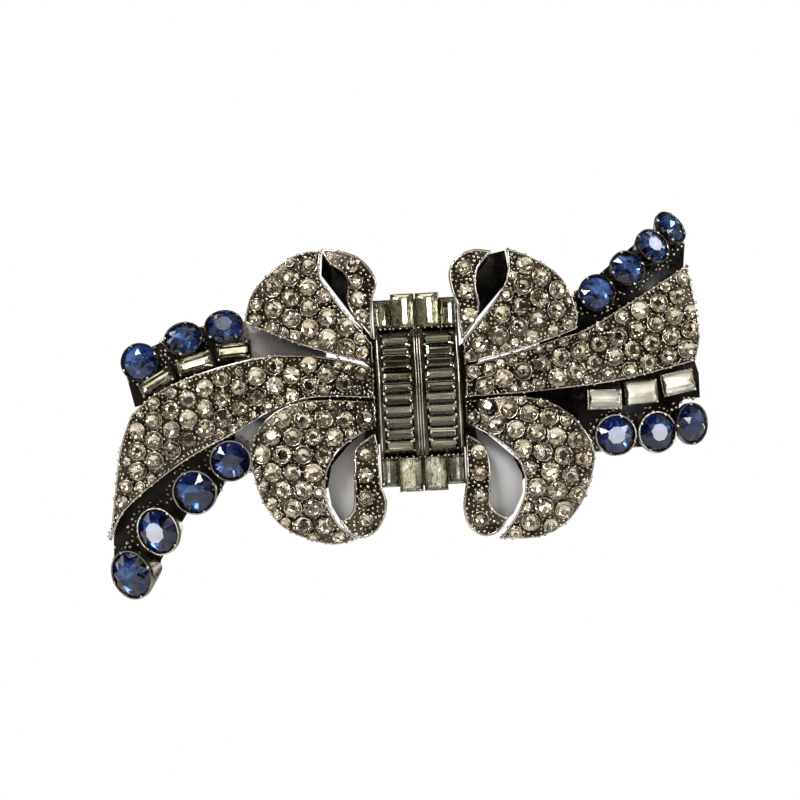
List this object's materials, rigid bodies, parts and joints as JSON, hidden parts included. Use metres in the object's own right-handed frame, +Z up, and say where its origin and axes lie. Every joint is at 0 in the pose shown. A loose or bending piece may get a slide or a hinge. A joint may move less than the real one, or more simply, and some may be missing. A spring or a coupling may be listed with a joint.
{
  "type": "hair clip",
  "caption": "Bow-shaped hair clip of stone-set ribbon loops and tails round a baguette knot, with rows of round blue stones and a sprung barrette clasp behind.",
  "frame": {"origin": "middle of the hair gap between the clasp arm and the tension spring", "axes": "+X along the clip to the right as worn, +Z up the clip's face, -Y out of the face towards the viewer"},
  "size_m": [0.0985, 0.0201, 0.064],
  "materials": {
    "rhodium_plate": "polished",
    "spring_steel": "brushed",
    "clear_stone": "faceted, foil backed",
    "clear_baguette": "step cut, foil backed",
    "blue_stone": "faceted, foil backed"
  },
  "bodies": {
    "root": {"back_plate": "rhodium_plate", "base_bar": "spring_steel", "mounting_rivets": "spring_steel", "hinge_pin": "spring_steel", "spring_rivet": "spring_steel", "catch_pins": "spring_steel", "knot_frame": "rhodium_plate", "tail_left": "rhodium_plate", "tail_right": "rhodium_plate", "loop_upper_left": "rhodium_plate", "loop_upper_right": "rhodium_plate", "loop_lower_left": "rhodium_plate", "loop_lower_right": "rhodium_plate", "fold_upper_left": "rhodium_plate", "fold_upper_right": "rhodium_plate", "fold_lower_left": "rhodium_plate", "fold_lower_right": "rhodium_plate", "gallery_upper_left": "rhodium_plate", "gallery_upper_right": "rhodium_plate", "gallery_lower_left": "rhodium_plate", "gallery_lower_right": "rhodium_plate", "setting_upper_left": "rhodium_plate", "setting_upper_right": "rhodium_plate", "setting_lower_left": "rhodium_plate", "setting_lower_right": "rhodium_plate", "knot_column_left": "clear_baguette", "knot_column_right": "clear_baguette", "knot_fan_top": "clear_baguette", "knot_fan_bottom": "clear_baguette", "blue_ul_1": "blue_stone", "blue_ul_2": "blue_stone", "blue_ul_3": "blue_stone", "blue_ll_1": "blue_stone", "blue_ll_2": "blue_stone", "blue_ll_3": "blue_stone", "blue_ll_4": "blue_stone", "blue_ur_1": "blue_stone", "blue_ur_2": "blue_stone", "blue_ur_3": "blue_stone", "blue_ur_4": "blue_stone", "blue_lr_1": "blue_stone", "blue_lr_2": "blue_stone", "blue_lr_3": "blue_stone", "baguette_ul_1": "clear_baguette", "baguette_ul_2": "clear_baguette", "baguette_ul_3": "clear_baguette", "baguette_lr_1": "clear_baguette", "baguette_lr_2": "clear_baguette", "baguette_lr_3": "clear_baguette", "pave_tail_left": "clear_stone", "pave_tail_right": "clear_stone", "pave_upper_left": "clear_stone", "pave_upper_right": "clear_stone", "pave_lower_left": "clear_stone", "pave_lower_right": "clear_stone"},
    "arm": {"clasp_arm": "spring_steel"},
    "spring": {"tension_spring": "spring_steel"},
    "wing_upper": {"catch_wing_upper": "spring_steel"},
    "wing_lower": {"catch_wing_lower": "spring_steel"}
  },
  "joints": [
    {"name": "clasp_hinge", "type": "hinge", "parent": "root", "child": "arm", "pos_m": [-0.037, -0.001, 0], "axis": [0, 0, 1], "range_deg": [0, 75]},
    {"name": "spring_flex", "type": "hinge", "parent": "root", "child": "spring", "pos_m": [-0.031, -0.0039, 0], "axis": [0, 0, -1], "range_deg": [0, 1.1], "stiffness_Nm_per_rad": 0.5},
    {"name": "wing_squeeze", "type": "hinge", "parent": "root", "child": "wing_upper", "pos_m": [0.036, -0.0008, 0.0049], "axis": [1, 0, 0], "range_deg": [0, 10], "stiffness_Nm_per_rad": 0.02},
    {"name": "wing_squeeze_lower", "type": "hinge", "parent": "root", "child": "wing_lower", "pos_m": [0.036, -0.0008, -0.0049], "axis": [-1, 0, 0], "range_deg": [0, 10], "stiffness_Nm_per_rad": 0.02}
  ],
  "couplings": [
    {"joint": "wing_squeeze_lower", "follows": "wing_squeeze", "ratio": 1}
  ]
}
